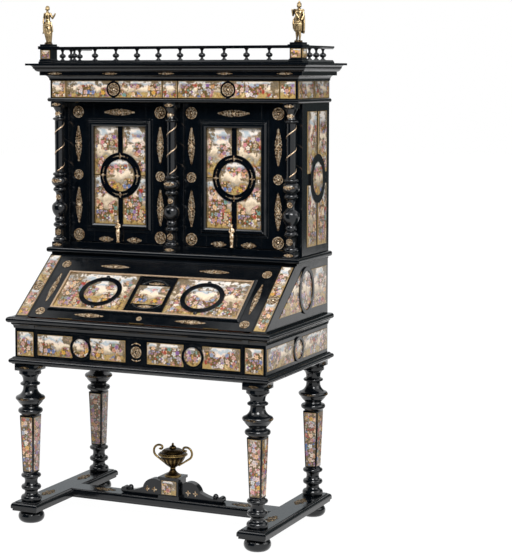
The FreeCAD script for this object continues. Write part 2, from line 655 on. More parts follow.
# Front of the drawer, with two black rings planted on it
DRAWER_ROUND_X = 230.5
DRAWER_RING_RADIUS = 44.0
DRAWER_MEDALLION_RADIUS = 35.0
case_middle = Z_DRAWER + DRAWER_OPENING_HEIGHT / 2
drawer_ring = disc(DRAWER_ROUND_X, case_middle, DRAWER_RING_RADIUS, RING_HEIGHT).cut(
    disc(DRAWER_ROUND_X, case_middle, DRAWER_MEDALLION_RADIUS, RING_HEIGHT))
save("drawer_front", [
    board(-front_half, front_half, CASE_FRONT, front_back, box_low, Z_DUST - DRAWER_GAP_EDGE),
] + on_front(both_sides([drawer_ring]), CASE_FRONT))

# Enamel plaques of the drawer: four long ones, and a medallion in each ring
CASE_PLAQUE_HEIGHT = 80.0
DRAWER_KEY_HALF = 45.0
plaque_low = case_middle - CASE_PLAQUE_HEIGHT / 2
plaque_high = case_middle + CASE_PLAQUE_HEIGHT / 2
round_gap = DRAWER_RING_RADIUS - PLAQUE_MARGIN
ring_hole = disc(DRAWER_ROUND_X, case_middle, DRAWER_RING_RADIUS, PLAQUE)
inner_long = tile(DRAWER_KEY_HALF, DRAWER_ROUND_X - round_gap, plaque_low, plaque_high).cut(ring_hole)
outer_end = front_half - PLAQUE_MARGIN
outer_long = tile(DRAWER_ROUND_X + round_gap, outer_end, plaque_low, plaque_high).cut(ring_hole)
drawer_medallion = disc(DRAWER_ROUND_X, case_middle, DRAWER_MEDALLION_RADIUS, PLAQUE)
drawer_enamel = both_sides([inner_long, outer_long, drawer_medallion])
save("drawer_plaques", on_front(drawer_enamel, CASE_FRONT))

# Key plate of the drawer with a bow above and below it
KEY_PLATE_RADIUS = 21.0
BOW = (34.0, 13.0)
KEYHOLE_RADIUS = 2.2
KEYHOLE_SLOT = 9.0


def keyhole(x, y, thick):
    slot = tile(x - KEYHOLE_RADIUS / 2, x + KEYHOLE_RADIUS / 2, y - KEYHOLE_SLOT, y, thick)
    return disc(x, y, KEYHOLE_RADIUS, thick).fuse(slot)


bow_rise = KEY_PLATE_RADIUS + BOW[1] / 2 + MOUNT
drawer_mounts = [
    disc(0, case_middle, KEY_PLATE_RADIUS).cut(keyhole(0, case_middle + KEYHOLE_SLOT / 2, MOUNT)),
    lens(0, case_middle + bow_rise, *BOW),
    lens(0, case_middle - bow_rise, *BOW),
]
save("drawer_mounts", on_front(drawer_mounts, CASE_FRONT))

# Slope boards of the desk: sides, stiles that frame the fall front, top rail, back and top board
slope_thick = BOARD / math.sin(math.radians(SLOPE_DEG))
slope_head_y = SLOPE_FOOT_Y + SLOPE_RUN
slope_length = math.hypot(SLOPE_RUN, SLOPE_RISE)
stile_inner = CASE_HALF - SLOPE_STILE
side_path = [
    (SLOPE_FOOT_Y + slope_thick, Z_LIP), (slope_head_y + slope_thick, Z_DESK_TOP),
    (CASE_BACK, Z_DESK_TOP), (CASE_BACK, Z_LIP),
]
stile_path = [
    (SLOPE_FOOT_Y, Z_LIP), (slope_head_y, Z_DESK_TOP),
    (slope_head_y + slope_thick, Z_DESK_TOP), (SLOPE_FOOT_Y + slope_thick, Z_LIP),
]
rail_low = FALL_LENGTH + FALL_GAP
rail_flat = board(-stile_inner, stile_inner, rail_low, slope_length + BOARD, -BOARD, 0)
desk_inside = board(-stile_inner, stile_inner, CASE_FRONT, CASE_BACK, Z_LIP, Z_DESK_TOP)
slope_rail = on_slope([rail_flat])[0].common(desk_inside)
save("slope_boards", [
    slope_rail,
    board(-CASE_INSIDE, CASE_INSIDE, case_back_face, CASE_BACK, Z_LIP, Z_DESK_TOP),
    board(-UPPER_HALF, UPPER_HALF, FRIEZE_FRONT, CASE_BACK, Z_DESK_TOP, Z_BASE),
] + both_sides([
    prism(side_path, "x", CASE_INSIDE, CASE_HALF),
    prism(stile_path, "x", stile_inner, CASE_HALF),
]))

# Pigeonholes: a shelf and upright dividers behind the fall front
pigeon_front = slope_head_y + slope_thick + PIGEON_SETBACK
pigeon_middle = Z_LIP + SLOPE_RISE / 2
pigeon_pitch = 2 * CASE_INSIDE / PIGEON_BAYS
pigeon_boards = []
for bay in range(PIGEON_BAYS):
    west = -CASE_INSIDE + bay * pigeon_pitch
    inset = PIGEON_BOARD / 2
    start = west + (inset if bay else 0)
    end = west + pigeon_pitch - (inset if bay < PIGEON_BAYS - 1 else 0)
    pigeon_boards.append(board(start, end, pigeon_front, case_back_face,
                               pigeon_middle - inset, pigeon_middle + inset))
    if bay:
        pigeon_boards.append(board(west - inset, west + inset, pigeon_front, case_back_face,
                                   Z_LIP, Z_DESK_TOP))
save("pigeonholes", pigeon_boards)

# Fall front: a board whose lower edge is bevelled level, hinged at its outer lower edge
hinge_z = Z_LIP + FALL_HINGE_RADIUS + RUNNING_GAP
hinge_y = SLOPE_FOOT_Y + (hinge_z - Z_LIP) * SLOPE_RUN / SLOPE_RISE
fall_half = stile_inner - FALL_GAP
fall_flat = board(-fall_half, fall_half, 0, FALL_LENGTH, -BOARD, 0)
below_hinge = board(-CASE_HALF, CASE_HALF, 2 * CASE_FRONT, CASE_BACK, 0, hinge_z)
fall_board = on_slope([fall_flat])[0].cut(below_hinge)
hinges = []
for place in (-1, 0, 1):
    start = place * FALL_HINGE_SPAN / 2 - FALL_HINGE_LENGTH / 2
    barrel = Part.makeCylinder(FALL_HINGE_RADIUS, FALL_HINGE_LENGTH, V(start, hinge_y, hinge_z), V(1, 0, 0))
    leaf = board(start, start + FALL_HINGE_LENGTH, hinge_y, hinge_y + FALL_HINGE_LEAF,
                 Z_LIP, Z_LIP + HINGE_LEAF_THICK)
    hinges.append(barrel.fuse(leaf).removeSplitter())
    notch_radius = FALL_HINGE_RADIUS + RUNNING_GAP
    notch_length = FALL_HINGE_LENGTH + 2 * RUNNING_GAP
    notch_start = V(start - RUNNING_GAP, hinge_y, hinge_z)
    notch = Part.makeCylinder(notch_radius, notch_length, notch_start, V(1, 0, 0))
    fall_board = fall_board.cut(notch)
save("fall_front", [fall_board])
save("fall_hinges", hinges)
leather = board(-fall_half + LEATHER_MARGIN, fall_half - LEATHER_MARGIN, 1.5 * LEATHER_MARGIN,
                FALL_LENGTH - LEATHER_MARGIN, -BOARD - LEATHER_THICK, -BOARD)
save("writing_leather", on_slope([leather]))

# Frame moulding of the fall front, with two oval black rings and two black bars inside it
FALL_PANEL_HALF = 380.0
FALL_PANEL_LOW = 61.0
FALL_PANEL_HIGH = 247.0
FALL_MOULD_WIDTH = 16.0
FALL_MOULD_HEIGHT = 8.0
FALL_OVAL_X = 212.0
FALL_RING = (86.0, 76.0)
FALL_OVAL = (68.0, 58.0)
FALL_CENTRE_HALF = 65.0
FALL_BAR = 14.0
fall_mould_path = [
    (0, 0), (0, FALL_MOULD_HEIGHT * 0.5), (FALL_MOULD_WIDTH * 0.3, FALL_MOULD_HEIGHT),
    (FALL_MOULD_WIDTH * 0.65, FALL_MOULD_HEIGHT), (FALL_MOULD_WIDTH, FALL_MOULD_HEIGHT * 0.25),
    (FALL_MOULD_WIDTH, 0),
]
fall_panel = (-FALL_PANEL_HALF, FALL_PANEL_HALF, FALL_PANEL_LOW, FALL_PANEL_HIGH)
fall_middle = (FALL_PANEL_LOW + FALL_PANEL_HIGH) / 2
fall_ring_space = oval(FALL_OVAL_X, fall_middle, *FALL_RING, RING_HEIGHT)
fall_ring = fall_ring_space.cut(oval(FALL_OVAL_X, fall_middle, *FALL_OVAL, RING_HEIGHT))
fall_bar = tile(FALL_CENTRE_HALF, FALL_CENTRE_HALF + FALL_BAR, FALL_PANEL_LOW, FALL_PANEL_HIGH, RING_HEIGHT)
save("fall_moulding", on_slope(framed(*fall_panel, fall_mould_path) + both_sides([fall_ring, fall_bar])))

# Enamel panel of the fall front: a medallion in each ring, the plaques about it and one between the bars
FALL_CENTRE_HEIGHT = 96.0
fall_wing = tile(FALL_CENTRE_HALF + FALL_BAR, FALL_PANEL_HALF, FALL_PANEL_LOW, FALL_PANEL_HIGH)
fall_wing = fall_wing.cut(fall_ring_space)
centre_low = fall_middle - FALL_CENTRE_HEIGHT / 2
centre_high = fall_middle + FALL_CENTRE_HEIGHT / 2
fall_centre = tile(-FALL_CENTRE_HALF, FALL_CENTRE_HALF, centre_low, centre_high)
fall_plaques = fall_wing.Solids + [oval(FALL_OVAL_X, fall_middle, *FALL_OVAL, PLAQUE)]
save("fall_plaques", on_slope(both_sides(fall_plaques) + [fall_centre]))

# Gilt mounts of the fall front, in its wide black border
FALL_ROUNDEL_X = 421.0
FALL_ROUNDEL_RADIUS = 18.0
FALL_ROUNDEL_LOW = 37.0
FALL_ROUNDEL_HIGH = 294.0
FALL_SIDE_LENS = (22.0, 160.0)
FALL_EDGE_LENS = (128.0, 20.0)
FALL_EDGE_LENS_X = 209.0
FALL_KEY_RADIUS = 10.0
fall_mounts = both_sides([
    disc(FALL_ROUNDEL_X, FALL_ROUNDEL_LOW, FALL_ROUNDEL_RADIUS),
    disc(FALL_ROUNDEL_X, FALL_ROUNDEL_HIGH, FALL_ROUNDEL_RADIUS),
    lens(FALL_ROUNDEL_X, (FALL_ROUNDEL_LOW + FALL_ROUNDEL_HIGH) / 2, *FALL_SIDE_LENS),
    lens(FALL_EDGE_LENS_X, FALL_ROUNDEL_HIGH, *FALL_EDGE_LENS),
    lens(FALL_EDGE_LENS_X, FALL_PANEL_LOW / 2, *FALL_EDGE_LENS),
])
fall_mounts.append(disc(0, FALL_PANEL_LOW / 2, FALL_KEY_RADIUS))
save("fall_mounts", on_slope(fall_mounts))

# Moulded base board of the upper cabinet
base_front = FRIEZE_FRONT - BASE_OUT
base_board = board(-UPPER_HALF - BASE_OUT, UPPER_HALF + BASE_OUT, base_front, CASE_BACK, Z_BASE, Z_COLUMN)
rim = [e for e in base_board.Edges
       if abs(e.Vertexes[0].Z - e.Vertexes[1].Z) < 1 and e.CenterOfMass.y < CASE_BACK - 1]
save("upper_base", [base_board.makeFillet(BASE_THICK * 0.4, rim)])

# Upper carcass: sides, back, end posts, centre post, rails under the doors and soffit board
door_back = DOOR_FACE + DOOR_THICK
door_outer = UPPER_INSIDE - END_POST - DOOR_GAP_SIDE
door_inner = CENTRE_POST / 2 + DOOR_GAP_MIDDLE
rail_top = Z_COLUMN + DOOR_RAIL_BELOW
save("upper_carcass", [
    board(-UPPER_INSIDE, UPPER_INSIDE, case_back_face, CASE_BACK, Z_COLUMN, Z_SOFFIT),
    board(-CENTRE_POST / 2, CENTRE_POST / 2, DOOR_FACE, door_back, Z_COLUMN, Z_SOFFIT),
    board(-UPPER_HALF, UPPER_HALF, FRIEZE_FRONT, CASE_BACK, Z_SOFFIT, Z_FRIEZE),
] + both_sides([
    board(UPPER_INSIDE, UPPER_HALF, DOOR_FACE, CASE_BACK, Z_COLUMN, Z_SOFFIT),
    board(UPPER_INSIDE - END_POST, UPPER_INSIDE, DOOR_FACE, door_back, Z_COLUMN, Z_SOFFIT),
    board(CENTRE_POST / 2, UPPER_INSIDE - END_POST, DOOR_FACE, door_back, Z_COLUMN, rail_top),
]))

# Partition behind the centre post and a shelf on each side of it
shelf_z = (Z_COLUMN + Z_SOFFIT) / 2
save("shelves", [
    board(-PARTITION / 2, PARTITION / 2, door_back, case_back_face, Z_COLUMN, Z_SOFFIT),
] + both_sides([
    board(PARTITION / 2, UPPER_INSIDE, door_back + SHELF_SETBACK, case_back_face,
          shelf_z - SHELF_THICK / 2, shelf_z + SHELF_THICK / 2),
]))


# Columns: square plinth and capital with turned work between, written as shares of the height
def column(x):
    bulge, ring = COLUMN_BULGE_RADIUS, COLUMN_RING_RADIUS
    shaft, neck = COLUMN_SHAFT_RADIUS, COLUMN_NECK_RADIUS

    def z(share):
        return Z_COLUMN + share * COLUMN_HEIGHT

    plinth, capital = 0.037, 0.963
    path = [
        (0, z(plinth)), (ring, z(plinth)), (ring, z(0.065)), (neck, z(0.073)), (neck, z(0.135)),
        (ring, z(0.152)), (ring, z(0.165)), (shaft, z(0.178)), (ring * 0.85, z(0.195)),
        (ring * 0.85, z(0.205)), (shaft, z(0.215)),
        (bulge, z(0.262)), (bulge, z(0.285)), (neck, z(0.315)), (neck, z(0.375)),
        (ring, z(0.392)), (ring, z(0.405)), (shaft, z(0.425)),
        ((bulge, z(0.463)), (shaft * 1.1, z(0.488))),
        (ring, z(0.493)), (ring, z(0.508)), (shaft, z(0.516)), (shaft, z(0.87)), (ring, z(0.878)),
        (ring, z(0.888)), (neck, z(0.897)), (neck, z(0.94)), (ring, z(capital)), (0, z(capital)),
    ]
    square = COLUMN_BLOCK
    return fused([
        turned(path, x, COLUMN_Y),
        block(x, COLUMN_Y, square, square, Z_COLUMN, z(plinth)),
        block(x, COLUMN_Y, square, square, z(capital), Z_SOFFIT),
        block(x, COLUMN_Y, 2 * neck, 2 * neck, z(0.078), z(0.13)),
    ])


COLUMN_PLACES = {"left": -COLUMN_SPAN / 2, "centre": 0.0, "right": COLUMN_SPAN / 2}
for name, x in COLUMN_PLACES.items():
    save("column_" + name, [column(x)])

# Gilt mounts on the fronts of the column blocks
COLUMN_LENS = (40.0, 14.0)
column_mounts = []
for x in COLUMN_PLACES.values():
    for share in (0.0185, 0.9815):
        column_mounts.append(lens(x, Z_COLUMN + share * COLUMN_HEIGHT, *COLUMN_LENS))
save("column_mounts", on_front(column_mounts, COLUMN_Y - COLUMN_BLOCK / 2))

# Doors: two stiles, two rails and a panel, hung on pivots let into their top and bottom edges
door_low = rail_top + DOOR_GAP_EDGE
door_high = Z_SOFFIT - DOOR_GAP_EDGE
field_left = -(door_outer - FIELD_OUTER_STILE)
field_right = -(door_inner + FIELD_INNER_STILE)
field_low = door_low + FIELD_BOTTOM_RAIL
field_high = door_high - FIELD_TOP_RAIL
panel_face = DOOR_FACE + PANEL_SETBACK
pivot_x = -(door_outer - PIVOT_INSET)
pivot_y = DOOR_FACE + PIVOT_DEPTH
socket_radius = PIVOT_RADIUS + RUNNING_GAP
sockets = Part.makeCompound([
    Part.makeCylinder(socket_radius, PIVOT_LENGTH, V(pivot_x, pivot_y, door_low)),
    Part.makeCylinder(socket_radius, PIVOT_LENGTH, V(pivot_x, pivot_y, door_high - PIVOT_LENGTH)),
])
left_door = [
    board(-door_outer, field_left, DOOR_FACE, door_back, door_low, door_high).cut(sockets),
    board(field_right, -door_inner, DOOR_FACE, door_back, door_low, door_high),
    board(field_left, field_right, DOOR_FACE, door_back, door_low, field_low),
    board(field_left, field_right, DOOR_FACE, door_back, field_high, door_high),
    board(field_left, field_right, panel_face, panel_face + PANEL_THICK, field_low, field_high),
]
washer_high = DOOR_GAP_EDGE - RUNNING_GAP
lower_pivot = Part.makeCylinder(PIVOT_WASHER, washer_high, V(pivot_x, pivot_y, rail_top)).fuse(
    Part.makeCylinder(PIVOT_RADIUS, PIVOT_LENGTH, V(pivot_x, pivot_y, rail_top)))
upper_pivot = Part.makeCylinder(PIVOT_WASHER, washer_high, V(pivot_x, pivot_y, Z_SOFFIT - washer_high)).fuse(
    Part.makeCylinder(PIVOT_RADIUS, PIVOT_LENGTH, V(pivot_x, pivot_y, Z_SOFFIT - PIVOT_LENGTH)))
save("door_pivots", both_sides([lower_pivot.removeSplitter(), upper_pivot.removeSplitter()]))

# Frame moulding planted on each door, and the black ring and bars on its panel
door_mould_path = [
    (0, 0), (0, DOOR_MOULD_HEIGHT * 0.6), (DOOR_MOULD_WIDTH * 0.2, DOOR_MOULD_HEIGHT),
    (DOOR_MOULD_WIDTH * 0.5, DOOR_MOULD_HEIGHT), (DOOR_MOULD_WIDTH * 0.7, DOOR_MOULD_HEIGHT * 0.4),
    (DOOR_MOULD_WIDTH, DOOR_MOULD_HEIGHT * 0.3), (DOOR_MOULD_WIDTH, 0),
]
field_x = (field_left + field_right) / 2
field_z = (field_low + field_high) / 2
door_mould = on_front(framed(field_left, field_right, field_low, field_high, door_mould_path), DOOR_FACE)
ring_space = disc(field_x, field_z, DOOR_RING_RADIUS, DOOR_RING_HEIGHT)
door_ring = ring_space.cut(disc(field_x, field_z, DOOR_MEDALLION_RADIUS, DOOR_RING_HEIGHT))
door_bar = tile(field_x - DOOR_BAR_WIDTH / 2, field_x + DOOR_BAR_WIDTH / 2, field_low, field_high,
                DOOR_BAR_HEIGHT).cut(ring_space)
door_mould += on_front([door_ring] + door_bar.Solids, panel_face)

# Enamel plaques of each door: four about the ring and a round one inside it
quarter_gap = PLAQUE_MARGIN / 4
door_enamel = []
for x0, x1 in ((field_left, field_x - DOOR_BAR_WIDTH / 2), (field_x + DOOR_BAR_WIDTH / 2, field_right)):
    for z0, z1 in ((field_low, field_z - quarter_gap), (field_z + quarter_gap, field_high)):
        door_enamel.append(tile(x0, x1, z0, z1).cut(ring_space))
door_enamel.append(disc(field_x, field_z, DOOR_MEDALLION_RADIUS, PLAQUE * 2))
door_enamel = on_front(door_enamel, panel_face)

# Gilt mounts of each door, and the little figure that serves as its pull
DOOR_ROUNDEL_INSET = 40.0
DOOR_ROUNDEL_RADIUS = 23.0
DOOR_KEY_ROUNDEL_RADIUS = 19.0
DOOR_TOP_LENS = (142.0, 27.0)
DOOR_SIDE_LENS = (29.0, 144.0)
DOOR_FOOT_LENS = (68.0, 18.0)
DOOR_FOOT_LENS_X = 62.0
roundel_low = door_low + DOOR_ROUNDEL_RADIUS + PULL_RISE
roundel_high = door_high - FIELD_TOP_RAIL * 0.4
roundel_step = (roundel_high - roundel_low) / 4
key_x = -door_inner - DOOR_ROUNDEL_INSET * 0.75
door_gilt = []
for x in (-door_outer + DOOR_ROUNDEL_INSET, key_x):
    door_gilt += [disc(x, z, DOOR_ROUNDEL_RADIUS) for z in (roundel_low, roundel_high)]
    door_gilt.append(disc(x, field_z, DOOR_KEY_ROUNDEL_RADIUS))
    door_gilt += [lens(x, field_z + side * roundel_step, *DOOR_SIDE_LENS) for side in (-1, 1)]
door_gilt.append(lens(field_x, roundel_high, *DOOR_TOP_LENS))
door_gilt += [lens(field_x + side * DOOR_FOOT_LENS_X, door_low + DOOR_FOOT_LENS[1] * 0.6, *DOOR_FOOT_LENS)
              for side in (-1, 1)]
key_space = keyhole(key_x, field_z + KEYHOLE_SLOT / 2, MOUNT)
keyed_gilt = [solid.cut(key_space) for solid in door_gilt]
pull_y = DOOR_FACE - DOOR_MOULD_HEIGHT - PULL_RADIUS
pull_foot = door_low + PULL_RISE
pull_path = [
    (0, 0), (0.9, 0), (0.9, 0.05), (0.55, 0.1), (0.6, 0.3), (0.95, 0.52), (1, 0.66), (0.4, 0.75),
    (0.35, 0.78), (0.62, 0.87), (0.4, 0.97), (0, 1),
]
pull = turned([(r * PULL_RADIUS, pull_foot + h * PULL_HEIGHT) for r, h in pull_path], field_x, pull_y)
pull_block = board(field_x - PULL_RADIUS * 0.5, field_x + PULL_RADIUS * 0.5, pull_y, DOOR_FACE,
                   pull_foot, pull_foot + PULL_HEIGHT * 0.04)
pull = pull.fuse(pull_block).removeSplitter()


def to_right(solids):
    return [mirrored(solid) for solid in solids]


for name, turn, gilt in (("left", list, door_gilt), ("right", to_right, keyed_gilt)):
    save("door_" + name, turn(left_door))
    save("door_" + name + "_moulding", turn(door_mould))
    save("door_" + name + "_plaques", turn(door_enamel))
    save("door_" + name + "_mounts", turn(on_front(gilt, DOOR_FACE)) + turn([pull]))

# Frieze: front and side boards, with a rounded moulding round the soffit board below
soffit_path = [
    (0, Z_SOFFIT), (SOFFIT_OUT * 0.5, Z_SOFFIT),
    ((SOFFIT_OUT, Z_SOFFIT + SOFFIT_THICK * 0.5), (SOFFIT_OUT * 0.5, Z_FRIEZE)), (0, Z_FRIEZE),
]
save("frieze", mitred(soffit_path, UPPER_HALF, FRIEZE_FRONT, CASE_BACK) + [
    board(-UPPER_HALF, UPPER_HALF, FRIEZE_FRONT, FRIEZE_FRONT + BOARD, Z_FRIEZE, Z_CORNICE),
    board(-UPPER_INSIDE, UPPER_INSIDE, case_back_face, CASE_BACK, Z_FRIEZE, Z_CORNICE),
] + both_sides([board(UPPER_INSIDE, UPPER_HALF, FRIEZE_FRONT + BOARD, CASE_BACK, Z_FRIEZE, Z_CORNICE)]))

# Enamel plaques of the frieze, and the plaques on the figures' plinths
FRIEZE_ROUND_X = 240.0
FRIEZE_ROUND_RADIUS = 27.0
FRIEZE_SQUARE_HALF = 30.0
frieze_low = Z_FRIEZE + PLAQUE
frieze_high = Z_CORNICE - PLAQUE
frieze_middle = (frieze_low + frieze_high) / 2
end_square = UPPER_HALF - 2 * FRIEZE_SQUARE_HALF - PLAQUE_EDGE
round_space = disc(FRIEZE_ROUND_X, frieze_middle, FRIEZE_ROUND_RADIUS + PLAQUE_JOINT, PLAQUE)
long_spans = (
    (FRIEZE_SQUARE_HALF + PLAQUE_JOINT, FRIEZE_ROUND_X - PLAQUE_EDGE),
    (FRIEZE_ROUND_X + PLAQUE_EDGE, end_square - PLAQUE_JOINT),
)
frieze_long = [tile(x0, x1, frieze_low, frieze_high).cut(round_space) for x0, x1 in long_spans]
frieze_long.append(tile(end_square, UPPER_HALF - PLAQUE_EDGE, frieze_low, frieze_high))
frieze_enamel = on_front(
    both_sides(frieze_long) + [tile(-FRIEZE_SQUARE_HALF, FRIEZE_SQUARE_HALF, frieze_low, frieze_high)],
    FRIEZE_FRONT)
frieze_split = (FRIEZE_FRONT + CASE_BACK) / 2
frieze_enamel += both_sides(on_side([
    tile(FRIEZE_FRONT + PLAQUE_EDGE, frieze_split - PLAQUE_JOINT, frieze_low, frieze_high),
    tile(frieze_split + PLAQUE_JOINT, CASE_BACK - PLAQUE_EDGE, frieze_low, frieze_high),
], UPPER_HALF))
statue_x = GALLERY_SPAN / 2
statue_die = (Z_TOP + STATUE_PLINTH_HEIGHT * 0.2, Z_TOP + STATUE_PLINTH_HEIGHT * 0.74)
statue_half = STATUE_PLINTH_WIDTH / 2
plinth_plaque = (statue_die[0] + PLAQUE_JOINT, statue_die[1] - PLAQUE_JOINT)
plinth_half = statue_half - PLAQUE_JOINT
frieze_enamel += both_sides(on_front(
    [tile(statue_x - plinth_half, statue_x + plinth_half, *plinth_plaque)], GALLERY_Y - statue_half))
frieze_enamel += both_sides(on_side(
    [tile(GALLERY_Y - plinth_half, GALLERY_Y + plinth_half, *plinth_plaque)], statue_x + statue_half))
save("frieze_plaques", frieze_enamel)

# Cornice of mitred lengths: cove, fascia, ovolo, hollow and lip, with a top board between them
cove_top = Z_CORNICE + CORNICE_COVE_HEIGHT
fascia_top = cove_top + CORNICE_FASCIA_HEIGHT
slope_top = fascia_top + CORNICE_SLOPE_HEIGHT
slope_middle = (fascia_top + slope_top) / 2
hollow_out = CORNICE_OUT - CORNICE_LIP_STEP
ovolo_out = (CORNICE_FASCIA_OUT + hollow_out) / 2
cornice_path = [
    (0, Z_CORNICE), (CORNICE_FILLET, Z_CORNICE),
    ((CORNICE_COVE_OUT * 0.4, Z_CORNICE + CORNICE_COVE_HEIGHT * 0.6), (CORNICE_COVE_OUT, cove_top)),
    (CORNICE_FASCIA_OUT, cove_top), (CORNICE_FASCIA_OUT, fascia_top),
    ((ovolo_out - CORNICE_FILLET, slope_middle - CORNICE_FILLET * 2), (ovolo_out, slope_middle)),
    (ovolo_out + CORNICE_FILLET, slope_middle),
    ((ovolo_out + CORNICE_FILLET * 2, slope_top - CORNICE_FILLET), (hollow_out, slope_top)),
    (CORNICE_OUT, slope_top), (CORNICE_OUT, Z_TOP), (0, Z_TOP),
]
save("cornice", mitred(cornice_path, UPPER_HALF, FRIEZE_FRONT, CASE_BACK) + [
    board(-UPPER_HALF, UPPER_HALF, FRIEZE_FRONT, CASE_BACK, Z_CORNICE, Z_TOP),
])

# Gallery rails along the front and both sides, between the figures' plinths
rail_half = GALLERY_RAIL_WIDTH / 2
front_end = statue_x - statue_half
side_start = GALLERY_Y + statue_half
rail_wide = rail_half + GALLERY_RAIL_MOULD
rail_levels = (
    (Z_TOP, Z_TOP + GALLERY_RAIL_MOULD, Z_TOP + GALLERY_BOTTOM_RAIL),
    (Z_GALLERY_RAIL + GALLERY_TOP_RAIL, Z_GALLERY_RAIL + GALLERY_RAIL_MOULD, Z_GALLERY_RAIL),
)
rails = []
for wide_end, shoulder, narrow_end in rail_levels:
    section = [
        (-rail_wide, wide_end), (-rail_wide, shoulder), (-rail_half, narrow_end),
        (rail_half, narrow_end), (rail_wide, shoulder), (rail_wide, wide_end),
    ]
    rails.append(prism([(GALLERY_Y + a, b) for a, b in section], "x", -front_end, front_end))
    rails += both_sides([prism([(statue_x + a, b) for a, b in section], "y", side_start, CASE_BACK)])
save("gallery_rails", rails)

# Balusters, turned with one bulb between a flared foot and a flared head
z_baluster = Z_TOP + GALLERY_BOTTOM_RAIL
baluster_shape = [(0, 0), (0.78, 0), (0.38, 0.2), (1, 0.44), (0.36, 0.73), (0.75, 1), (0, 1)]
baluster_path = [(r * BALUSTER_RADIUS, z_baluster + h * BALUSTER_HEIGHT) for r, h in baluster_shape]
front_pitch = 2 * front_end / (BALUSTERS_FRONT + 1)
baluster_places = [(-front_end + (i + 1) * front_pitch, GALLERY_Y) for i in range(BALUSTERS_FRONT)]
for i in range(BALUSTERS_SIDE):
    y = GALLERY_Y + BALUSTER_SIDE_FIRST + i * BALUSTER_SIDE_PITCH
    baluster_places += [(-statue_x, y), (statue_x, y)]
save("balusters", [turned(baluster_path, x, y) for x, y in baluster_places])

# Plinths of the figures: moulded foot, die, cap and seat
statue_foot = Z_TOP + STATUE_PLINTH_HEIGHT * 0.1
statue_seat = Z_STATUE - STATUE_PLINTH_HEIGHT * 0.1
statue_steps = (
    (STATUE_FOOT_OUT, Z_TOP, statue_foot),
    (STATUE_FOOT_OUT / 2, statue_foot, statue_die[0]),
    (0, *statue_die),
    (STATUE_CAP_OUT, statue_die[1], statue_seat),
    (0, statue_seat, Z_STATUE),
)
statue_plinth = fused([
    block(statue_x, GALLERY_Y, STATUE_PLINTH_WIDTH + 2 * out, STATUE_PLINTH_WIDTH + 2 * out, z0, z1)
    for out, z0, z1 in statue_steps
])
rail_space = Part.makeCompound(rails)
save("figure_plinths", [solid.cut(rail_space) for solid in both_sides([statue_plinth])])


# Figures: draped standing bronzes lofted through ovals, with limbs between joints
def limb(points, thick, thin):
    pieces = []
    for start, end in zip(points, points[1:]):
        run = V(*end) - V(*start)
        pieces.append(Part.makeCone(thick, thin, run.Length, V(*start), run))
        pieces.append(Part.makeSphere(thin, V(*end)))
        thick, thin = thin, thin * 0.8
    return pieces


FIGURE_BASE_RADIUS = 16.0
FIGURE_BASE_SHARE = 0.045
FIGURE_HEAD_SHARE = 0.066
FIGURE_ARM = (5.2, 4.2)
CLOAK_BACK = (4.0, 10.0)


def figure(x, body, head_x, arms, cloak):
    """Body rings are (height, half width, half depth, sideways shift), as shares of the height."""
    tall = FIGURE_HEIGHT
    rings = []
    for rise, wide, deep, shift in body:
        centre = V(x + shift * tall, GALLERY_Y, Z_STATUE + rise * tall)
        rings.append(Part.Wire(Part.Ellipse(centre, wide * tall, deep * tall).toShape()))
    head_radius = tall * FIGURE_HEAD_SHARE
    head = V(x + head_x * tall, GALLERY_Y, Z_STATUE + tall - head_radius)
    pieces = [
        Part.makeCylinder(FIGURE_BASE_RADIUS, tall * FIGURE_BASE_SHARE, V(x, GALLERY_Y, Z_STATUE)),
        Part.makeLoft(rings, True, True),
        Part.makeSphere(head_radius, head),
    ]
    for points in arms:
        joints = [(x + a * tall, GALLERY_Y + b * tall, Z_STATUE + c * tall) for a, b, c in points]
        pieces += limb(joints, *FIGURE_ARM)
    if cloak:
        path = [(x + a * tall, Z_STATUE + c * tall) for a, c in cloak]
        pieces.append(prism(path, "y", *[GALLERY_Y + back for back in CLOAK_BACK]))
    return fused(pieces)


BODY_LEFT = [
    (0.045, 0.087, 0.073, 0), (0.3, 0.1, 0.08, -0.007), (0.47, 0.107, 0.08, -0.007), (0.56, 0.083, 0.06, 0),
    (0.63, 0.063, 0.05, 0.007), (0.74, 0.087, 0.06, 0.007), (0.81, 0.093, 0.05, 0.007),
    (0.845, 0.037, 0.033, 0.007), (0.88, 0.03, 0.03, 0.007),
]
ARMS_LEFT = [
    [(0.093, 0, 0.79), (0.153, -0.013, 0.66), (0.113, -0.067, 0.78)],
    [(-0.08, 0, 0.79), (-0.14, -0.013, 0.64), (-0.1, -0.06, 0.53)],
]
BODY_RIGHT = [
    (0.045, 0.08, 0.073, 0), (0.28, 0.087, 0.073, 0), (0.45, 0.107, 0.08, 0.007), (0.55, 0.09, 0.067, 0),
    (0.64, 0.083, 0.06, -0.007), (0.76, 0.103, 0.067, -0.007), (0.82, 0.1, 0.053, -0.007),
    (0.85, 0.04, 0.037, -0.007), (0.88, 0.033, 0.033, -0.007),
]
ARMS_RIGHT = [
    [(-0.093, 0, 0.79), (-0.147, -0.02, 0.65), (-0.053, -0.073, 0.7)],
    [(0.087, 0, 0.79), (0.14, -0.007, 0.62), (0.133, -0.04, 0.46)],
]
CLOAK_RIGHT = [(-0.087, 0.82), (0.093, 0.82), (0.153, 0.4), (0.127, 0.1), (0.02, 0.06), (-0.04, 0.4)]
HEAD_RIGHT = -0.013
save("figure_left", [figure(-statue_x, BODY_LEFT, 0, ARMS_LEFT, None)])
save("figure_right", [figure(statue_x, BODY_RIGHT, HEAD_RIGHT, ARMS_RIGHT, CLOAK_RIGHT)])

